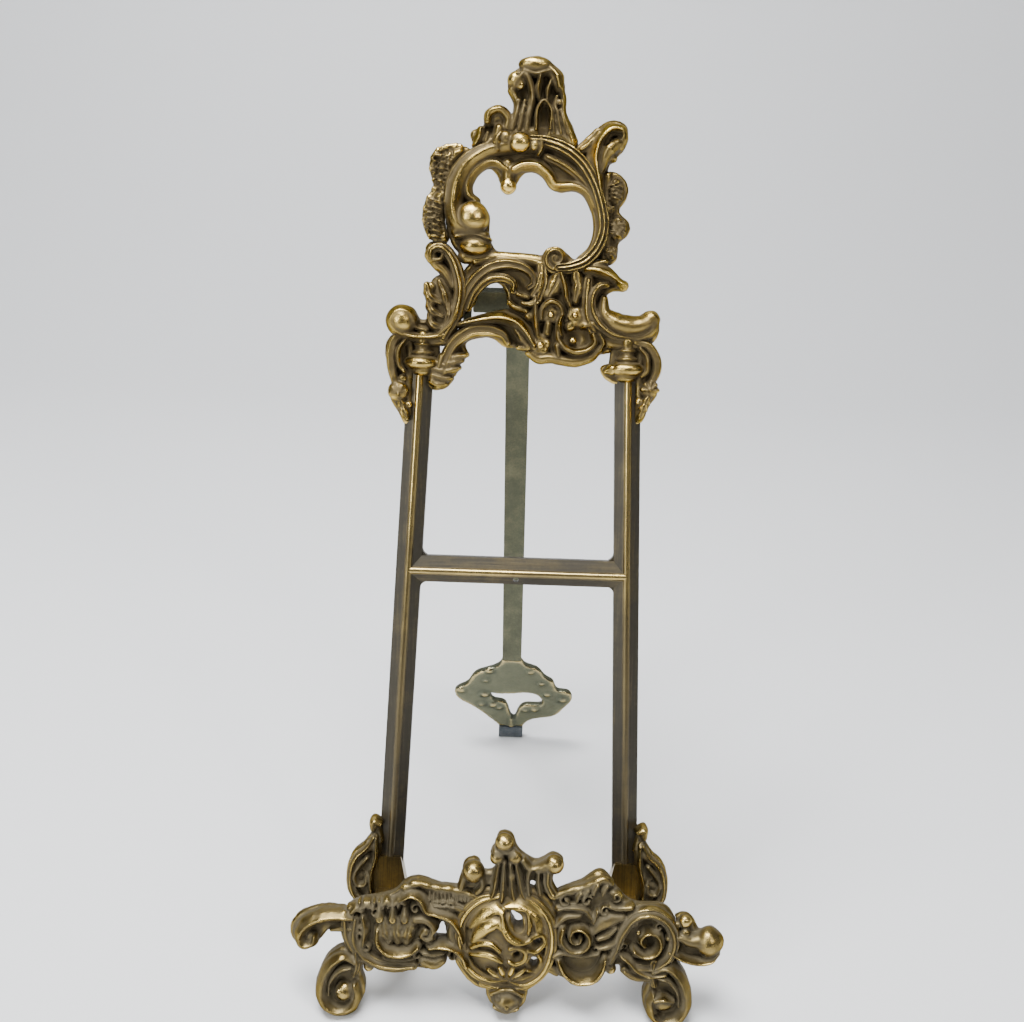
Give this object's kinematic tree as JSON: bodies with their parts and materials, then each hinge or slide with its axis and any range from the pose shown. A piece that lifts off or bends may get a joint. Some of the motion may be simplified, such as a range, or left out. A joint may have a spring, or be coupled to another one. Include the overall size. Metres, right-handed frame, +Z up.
{
  "type": "photo album stand",
  "caption": "Ornate cast-brass table easel that holds a photo album open or closed, with a scrolled crest, a footed ledge and a folding back leg.",
  "frame": {"origin": "on the table, at the middle of the space that the open stand covers", "axes": "+X to the viewer's right, +Y to the back, +Z up"},
  "size_m": [0.1663, 0.1997, 0.3452],
  "materials": {
    "gilt_brass": "aged polish, dark patina in the hollows",
    "bronzed_brass": "brown bronze patina with a bright bead",
    "raw_brass": "unpolished, greenish grey",
    "dark_toe": "dark blue-grey tarnish",
    "screw_brass": "satin"
  },
  "bodies": {
    "stand": {"crest_finial": "gilt_brass", "crest_leaf": "gilt_brass", "crest_ring": "gilt_brass", "crossbar": "bronzed_brass", "flower_cluster": "gilt_brass", "hinge_bracket": "raw_brass", "hinge_pin": "screw_brass", "ledge_boss": "gilt_brass", "ledge_finial": "gilt_brass", "ledge_left_panel": "gilt_brass", "ledge_pendant": "gilt_brass", "ledge_right_panel": "gilt_brass", "ledge_screws": "screw_brass", "left_arm": "bronzed_brass", "left_base_ear": "gilt_brass", "left_base_socket": "bronzed_brass", "left_collar": "gilt_brass", "left_ear_drop": "gilt_brass", "left_foot": "gilt_brass", "left_inner_leaf": "gilt_brass", "left_rocaille": "gilt_brass", "left_shoulder_scroll": "gilt_brass", "left_stile": "bronzed_brass", "left_tip_scroll": "gilt_brass", "lower_arch": "gilt_brass", "right_arm": "bronzed_brass", "right_base_ear": "gilt_brass", "right_base_socket": "bronzed_brass", "right_collar": "gilt_brass", "right_ear_drop": "gilt_brass", "right_foot": "gilt_brass", "right_inner_leaf": "gilt_brass", "right_rocaille": "gilt_brass", "right_shoulder_scroll": "gilt_brass", "right_stile": "bronzed_brass", "right_tip_scroll": "gilt_brass", "upper_arch": "gilt_brass"},
    "back_leg": {"leg_bar": "raw_brass", "leg_crosshead": "raw_brass", "leg_foot": "raw_brass", "leg_toe": "dark_toe"}
  },
  "joints": [
    {"name": "back_leg_hinge", "type": "hinge", "parent": "stand", "child": "back_leg", "pos_m": [-0.003, 0.01426, 0.25423], "axis": [-1, 0, 0], "range_deg": [0, 33.7]}
  ]
}
